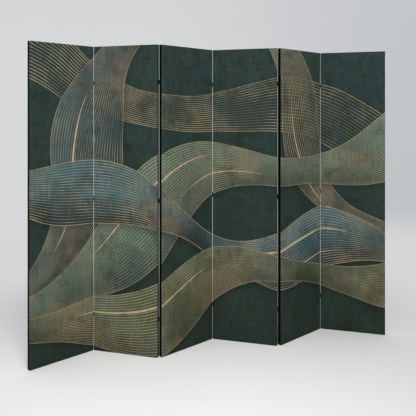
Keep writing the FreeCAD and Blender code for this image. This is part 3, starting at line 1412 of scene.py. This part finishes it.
@dataclass
class PanelFrame:
    """The wooden frame of one panel, with its arrises eased and its grain laid along it."""

    panel: Panel
    arris: float = 0.45 * MILLIMETRE
    arris_flats: int = 2

    def is_outline(self, point: Vector) -> bool:
        """Whether a point of a member lies on its outline, seen from the panel's front.

        Args:
            point: The point, in the panel's frame.

        Returns:
            True on the straight edges and on the rounded feet.
        """
        panel = self.panel
        lower, upper = panel.open_heights
        lines_x = (0, *panel.open_width, panel.width)
        lines_z = (0, *lower, *upper, panel.height)
        near_side = min(point.x, panel.width - point.x) < panel.foot_radius
        return (
            any(abs(point.x - line) < TINY for line in lines_x)
            or any(abs(point.z - line) < TINY for line in lines_z)
            or (near_side and point.z < panel.foot_radius)
        )

    def is_on_face(self, point: Vector) -> bool:
        """Whether a point of a member lies on its front or its back."""
        faces = (self.panel.canvas_thickness, self.panel.depth - self.panel.canvas_thickness)
        return any(abs(point.y - face) < TINY for face in faces)

    def ease(self, bm: BMesh) -> None:
        """Rounds the arrises along a member's outline and marks them for the finish.

        Args:
            bm: The member, in the panel's frame.
        """
        arrises = [
            edge
            for edge in sharp_edges(bm)
            if edge.is_convex
            and all(self.is_on_face(vert.co) and self.is_outline(vert.co) for vert in edge.verts)
        ]
        eased = round_off(bm, arrises, self.arris, self.arris_flats, clamped=True)
        layer = bm.loops.layers.float.new(ARRIS_MARK)
        for face in eased:
            for loop in face.loops:
                loop[layer] = 1.0

    def finish(self, member: Member) -> None:
        """Finishes one member, with a map across and along its grain.

        Args:
            member: The member, whose CAD mesh is copied.
        """
        body, placement = self.panel.body, self.panel.placement()
        node = f"{body}_{member.value}"
        bm = bmesh.new()
        bm.from_mesh(frame["nodes"][node].data)
        ops.transform(bm, matrix=placement.inverted(), verts=bm.verts)
        ops.remove_doubles(bm, verts=bm.verts, dist=TINY)
        ops.dissolve_limit(bm, angle_limit=FLAT_WITHIN, verts=bm.verts, edges=bm.edges)
        self.ease(bm)
        if member.is_upright:
            lay_map(bm, GRAIN_MAP, lambda point: (point.x + point.y, point.z))
        else:
            lay_map(bm, GRAIN_MAP, lambda point: (point.z + point.y, point.x))
        hang(bm, f"{member.value}_{self.panel.number}", PaintFinish(), body, node, placement)

    def build(self) -> None:
        """Finishes the frame's members."""
        for member in Member:
            self.finish(member)


@dataclass
class HingeLeaves(HingeEdge):
    """The leaves on one edge of a panel: drilled plates, rolled into knuckles round the pin.

    A patch is the square round a screw, from its centre to its sides.
    """

    patch: float = 3.4 * MILLIMETRE
    hole_sides: int = 24
    curl_steps: int = 18
    arris: float = 0.08 * MILLIMETRE
    arris_flats: int = 2

    def knuckle_spans(self) -> list[Range]:
        """The heights between which this leaf's own knuckles lie.

        Returns:
            The lower and the upper end of each, above the leaf's lower end.
        """
        hinge = self.panel.hinge
        slots = range(0 if self.is_right else 1, hinge.knuckle_count, 2)
        starts = [slot * hinge.knuckle_pitch for slot in slots]
        return [(start, start + hinge.knuckle_pitch - hinge.knuckle_play) for start in starts]

    def plate(self) -> BMesh:
        """Cuts the flat of a leaf, with tongues for its knuckles and squares round its screws.

        Returns:
            The side that shows when the hinge is open, as a sheet that faces the pin's side.
        """
        hinge = self.panel.hinge
        stand = Matrix.Rotation(-math.pi / 2, 4, "Z") @ Matrix.Rotation(math.pi / 2, 4, "X")
        centre = Matrix.Translation((hinge.bore_radius, hinge.leaf_width / 2, hinge.height / 2))
        bm = flat_sheet(hinge.leaf_width, hinge.height, centre @ stand)
        screw = hinge.screw_from_pin
        cut_across(bm, DEEP, [hinge.room, screw - self.patch, screw + self.patch])
        squares = [z + side * self.patch for z in hinge.screw_heights for side in (-1, 1)]
        cut_across(bm, UP, squares)
        spans = self.knuckle_spans()
        beside_pin = is_below(DEEP, hinge.room)
        ends = [z for span in spans for z in span if 0 < z < hinge.height]
        cut_across(bm, UP, ends, beside_pin)
        waste = [face for face in bm.faces if beside_pin(face) and not is_at(face, spans)]
        ops.delete(bm, geom=waste, context="FACES")
        return bm

    def drill(self, bm: BMesh, centre: Vector, radius: float) -> None:
        """Turns the square round a screw into a ring about its hole.

        Args:
            bm: The flat of the leaf.
            centre: Centre of the hole.
            radius: Radius of the hole.
        """
        square = min(bm.faces, key=lambda face: (face.calc_center_median() - centre).length)
        sides = list(square.edges)
        ops.delete(bm, geom=[square], context="FACES_ONLY")
        ops.subdivide_edges(bm, edges=sides, cuts=self.hole_sides // 4 - 1)
        rim = [
            edge
            for edge in bm.edges
            if all(max(map(abs, vert.co - centre)) < self.patch + TINY for vert in edge.verts)
        ]
        disc = ops.contextual_create(bm, geom=rim)["faces"][0]
        ops.inset_individual(bm, faces=[disc], thickness=self.arris)
        for vert in disc.verts:
            vert.co = centre + (vert.co - centre).normalized() * radius
        ops.delete(bm, geom=[disc], context="FACES_ONLY")

    def curl(self, bm: BMesh) -> None:
        """Rolls the tongues round the pin, nearly back to the plate.

        Args:
            bm: The drilled flat of the leaf.
        """
        hinge = self.panel.hinge
        verts = [vert for vert in bm.verts if abs(vert.co.y) < TINY]
        edges = [edge for edge in bm.edges if all(abs(vert.co.y) < TINY for vert in edge.verts)]
        seam = math.acos((hinge.bore_radius - hinge.curl_seam) / hinge.knuckle_radius)
        ops.spin(
            bm, geom=[*verts, *edges], cent=(0, 0, 0), axis=UP, angle=seam - math.tau,
            steps=self.curl_steps,
        )

    def countersink(self, bm: BMesh, centre: Vector, wide: float) -> list[BMVert]:
        """Narrows a hole towards the wood, as the screw's head does.

        Args:
            bm: The leaf at its full thickness.
            centre: Centre of the hole at the wood.
            wide: Radius of the hole where the head shows.

        Returns:
            The points round the hole.
        """
        hinge = self.panel.hinge
        ring = [vert for vert in bm.verts if (vert.co - centre).yz.length < wide + TINY]
        deep = [vert for vert in ring if abs(vert.co.x - centre.x) < TINY]
        share = (hinge.screw_radius + hinge.screw_clearance) / wide
        space = Matrix.Translation(-centre)
        ops.scale(bm, vec=(1, share, share), space=space, verts=deep)
        return ring

    def leaf(self) -> BMesh:
        """Makes one leaf.

        Returns:
            The leaf in its own frame.
        """
        hinge = self.panel.hinge
        wide = hinge.head_radius + hinge.screw_clearance
        bm = self.plate()
        for height in hinge.screw_heights:
            self.drill(bm, Vector((hinge.bore_radius, hinge.screw_from_pin, height)), wide)
        self.curl(bm)
        ops.recalc_face_normals(bm, faces=bm.faces)
        if max(bm.faces, key=lambda face: face.calc_center_median().y).normal.x > 0:
            ops.reverse_faces(bm, faces=bm.faces)
        ops.solidify(bm, geom=bm.faces, thickness=hinge.leaf_thickness)
        kept = set()
        for height in hinge.screw_heights:
            centre = Vector((hinge.knuckle_radius, hinge.screw_from_pin, height))
            kept.update(self.countersink(bm, centre, wide))
        arrises = [edge for edge in sharp_edges(bm) if not kept.intersection(edge.verts)]
        round_off(bm, arrises, self.arris, self.arris_flats, clamped=True)
        return bm

    def build(self) -> None:
        """Makes the leaves and hangs them on their panel."""
        side = "left" if self.is_right else "right"
        bm = self.leaf()
        repeat(bm, self.leaf_frames())
        name, node = f"{side}_leaves_{self.joint}", f"hinges_{self.joint}_{side}_leaves"
        hang(bm, name, Metal.LEAF.value, self.panel.body, node)


@dataclass
class HingePins(HingeEdge):
    """The pins of one joint, with domed ends."""

    sides: int = 24
    dome: float = 0.3 * MILLIMETRE
    dome_flats: int = 4

    def build(self) -> None:
        """Makes the pins and hangs them on the panel to the joint's left."""
        hinge = self.panel.hinge
        radius, length = hinge.bore_radius - hinge.pin_clearance, hinge.height + 2 * hinge.pin_overhang
        bm = bmesh.new()
        ops.create_cone(
            bm, cap_ends=True, segments=self.sides, radius1=radius, radius2=radius, depth=length,
            matrix=Matrix.Translation(hinge.height / 2 * UP),
        )
        round_off(bm, sharp_edges(bm), self.dome, self.dome_flats)
        repeat(bm, self.leaf_frames())
        name, node = f"pins_{self.joint}", f"hinges_{self.joint}_pins"
        hang(bm, name, Metal.PIN.value, self.panel.body, node)


@dataclass
class HingeScrews:
    """The countersunk screws of one panel, with cross recesses."""

    panel: Panel
    sides: int = 24
    dome: float = 0.07 * MILLIMETRE
    taper_from: float = 0.7
    taper_share: float = 0.3
    recess_width: float = 0.62 * MILLIMETRE
    recess_length: float = 2.3 * MILLIMETRE
    recess_depth: float = 0.45 * MILLIMETRE
    recess_taper: float = 0.08 * MILLIMETRE

    def turned(self) -> BMesh:
        """Turns one screw.

        Returns:
            The screw, with its head at the origin and its point along x.
        """
        hinge = self.panel.hinge
        neck, length, radius = hinge.leaf_thickness, hinge.screw_length, hinge.screw_radius
        outline = (
            (0, hinge.head_radius - self.dome),
            (self.dome, hinge.head_radius),
            (neck, radius),
            (neck + length * self.taper_from, radius * self.taper_share),
            (neck + length, 0),
        )
        bm = bmesh.new()
        verts = [bm.verts.new((x, 0, z)) for x, z in outline]
        edges = [bm.edges.new(pair) for pair in zip(verts, verts[1:])]
        ops.spin(
            bm, geom=[*verts, *edges], cent=(0, 0, 0), axis=ALONG, angle=math.tau,
            steps=self.sides, use_merge=True,
        )
        ops.remove_doubles(bm, verts=bm.verts, dist=TINY)
        ops.holes_fill(bm, edges=[edge for edge in bm.edges if edge.is_boundary], sides=0)
        ops.recalc_face_normals(bm, faces=bm.faces)
        return bm

    def sink_cross(self, bm: BMesh) -> None:
        """Sinks the cross into a screw's head.

        Args:
            bm: The turned screw.
        """
        on_top = is_below(ALONG, TINY)
        half_width, half_length = self.recess_width / 2, self.recess_length / 2
        for axis in (DEEP, UP):
            cut_across(bm, axis, [-half_length, -half_width, half_width, half_length], on_top)
        cross = []
        for face in bm.faces:
            short, long = sorted(abs(value) for value in face.calc_center_median().yz)
            if on_top(face) and short < half_width and long < half_length:
                cross.append(face)
        ops.inset_region(
            bm, faces=cross, thickness=self.recess_taper, depth=-self.recess_depth,
            use_even_offset=True,
        )

    def build(self) -> None:
        """Makes the screws of both edges and hangs them on their panel."""
        panel, hinge = self.panel, self.panel.hinge
        places = [
            leaf_frame @ Matrix.Translation((hinge.bore_radius, hinge.screw_from_pin, height))
            for joint in panel.joints
            for leaf_frame in HingeEdge(panel, joint).leaf_frames()
            for height in hinge.screw_heights
        ]
        bm = self.turned()
        self.sink_cross(bm)
        repeat(bm, places)
        name, node = f"hinge_screws_{panel.number}", f"{panel.body}_hinge_screws"
        hang(bm, name, Metal.SCREW.value, panel.body, node)


def seen_directly(writer: NodeWriter) -> Signal:
    """Tells what is seen from what only lights the object.

    Args:
        writer: Writer of the material or world.

    Returns:
        1 for what the camera, gloss or glass shows, and 0 for the rest.
    """
    path = writer.node("LightPath", {})
    seen = writer.out(path, "Is Camera Ray").at_least(writer.out(path, "Is Glossy Ray"))
    return seen.at_least(writer.out(path, "Is Transmission Ray"))


@cache
def backdrop_group() -> NodeTree:
    """Tone of the backdrop all round, pale at the left and, as painted shade, darker towards the right.

    Returns:
        A group that takes a direction from the screen and gives the tone there.
    """
    writer = GroupWriter("backdrop_tone")
    (direction,) = writer.takes(SocketKind.VECTOR, "Direction")
    x, y, z = writer.parts(direction)
    reach = (x * x + y * y).root()
    darkening, rise, rise_share = (0.10, 0.62), (0.05, 0.35), 0.5
    # Painted shade: the tone darkens towards the right as the light falls off, and turns to a set tone
    # higher up.
    painted_shade_rightward, upward = (x / reach).ramp(*darkening), (z / reach).ramp(*rise) * rise_share
    tone = writer.mix(painted_shade_rightward, Tone.BACKDROP_LEFT, Tone.BACKDROP_RIGHT)
    writer.gives(SocketKind.COLOUR, Tone=writer.mix(upward, tone, Tone.BACKDROP_ABOVE))
    return writer.tree


@dataclass
class Studio:
    """The plain pale surroundings and the soft light.

    The floor's colour carries a painted pool of light round its middle. What the camera sees
    of it turns into an even tone at the fade, and that tone into the backdrop's at the horizon.
    """

    floor_radius: float = 40.0
    floor_sides: int = 96
    floor_roughness: float = 0.9
    pool_middle: Range = (-0.38, -0.50)
    pool: Range = (0.2, 1.9)
    fade: Range = (1.0, 2.2)
    horizon: Range = (3.0, 5.5)
    sky_light: float = 0.58
    lamp_place: Triple = (-0.7, -5.2, 4.6)
    lamp_aim: Triple = (-0.1, -0.1, 0.3)
    lamp_size: float = 3.4
    lamp_power: float = 318.0

    def floor_material(self) -> Material:
        """Makes a pale floor that fades into the backdrop far from the screen.

        Returns:
            The material.
        """
        material = bpy.data.materials.new("studio_floor")
        material.use_nodes = True
        writer = NodeWriter(material.node_tree)
        place = writer.out(writer.node("TexCoord", {}), "Object")
        x, y, _ = writer.parts(place)
        reach = (x * x + y * y).root()
        # Painted light: the floor's base colour is brighter in a soft pool about a point in front of the
        # screen.
        aside, ahead = x - self.pool_middle[0], y - self.pool_middle[1]
        pool = (aside * aside + ahead * ahead).root().ramp(*self.pool)
        near_sockets = {
            "Base Color": writer.mix(pool, Tone.FLOOR_NEAR, Tone.FLOOR_ROUND),
            "Roughness": self.floor_roughness,
            "Specular IOR Level": 0.0,
        }
        near = writer.result("BsdfPrincipled", near_sockets)
        backdrop = writer.use(backdrop_group(), Direction=place)["Tone"]
        tone = writer.mix(reach.ramp(*self.horizon), Tone.FLOOR_FAR, backdrop)
        far = writer.result("Emission", {"Color": tone})
        writer.show(writer.blended(reach.ramp(*self.fade) * seen_directly(writer), near, far))
        return material

    def lay_floor(self) -> None:
        """Lays the floor."""
        bm = bmesh.new()
        ops.create_circle(
            bm, cap_ends=True, segments=self.floor_sides, radius=self.floor_radius
        )
        floor = set_in_place(bm, "studio_floor", AS_BUILT)
        floor.data.materials.append(self.floor_material())

    def light_sky(self) -> None:
        """Lights the scene evenly and shows the backdrop to the camera."""
        world = bpy.data.worlds.new("studio_sky")
        world.use_nodes = True
        writer = NodeWriter(world.node_tree)
        direction = writer.out(writer.node("TexCoord", {}), "Generated")
        tone = writer.use(backdrop_group(), Direction=direction)["Tone"]
        lit = writer.result("Background", {"Color": Tone.SKY, "Strength": self.sky_light})
        seen = writer.result("Background", {"Color": tone})
        writer.show(writer.blended(seen_directly(writer), lit, seen), "OutputWorld")
        bpy.context.scene.world = world

    def hang_lamp(self) -> None:
        """Hangs a soft square lamp in front of the screen."""
        data = bpy.data.lights.new("front_lamp", "AREA")
        data.size, data.energy = self.lamp_size, self.lamp_power
        lamp = add_object("front_lamp", data)
        lamp.location = self.lamp_place
        facing = Vector(self.lamp_aim) - Vector(self.lamp_place)
        lamp.rotation_euler = facing.to_track_quat("-Z", "Y").to_euler()

    def build(self) -> None:
        """Lays the floor and lights the scene."""
        self.lay_floor()
        self.light_sky()
        self.hang_lamp()


@dataclass
class PhotographCamera:
    """A camera that stands upright where the photograph was taken."""

    place: Triple = (-0.80738, -3.14313, 1.30925)
    yaw: float = math.radians(13.5818)
    lens: float = 48.9097
    sensor_width: float = 36.0
    shift_y: float = -0.22
    clip_end: float = 200.0

    def build(self) -> None:
        """Sets up the scene's camera."""
        data = bpy.data.cameras.new("photograph_camera")
        for name in ("lens", "sensor_width", "shift_y", "clip_end"):
            setattr(data, name, getattr(self, name))
        camera = add_object("photograph_camera", data)
        camera.location = self.place
        camera.rotation_euler = (math.pi / 2, 0, -self.yaw)
        bpy.context.scene.camera = camera


def main() -> None:
    """Builds the camera, the screen and the studio."""
    logging.basicConfig(level=logging.INFO, format="%(message)s")
    bpy.context.scene.view_settings.view_transform = "Standard"
    PhotographCamera().build()
    for number in range(1, Panel.count + 1):
        panel = Panel(number)
        for side in Side:
            CanvasSheet(panel, side).build()
        PanelFrame(panel).build()
        HingeScrews(panel).build()
        for joint in panel.joints:
            HingeLeaves(panel, joint).build()
            if joint == number:
                HingePins(panel, joint).build()
    Studio().build()


if __name__ == "__main__":
    main()
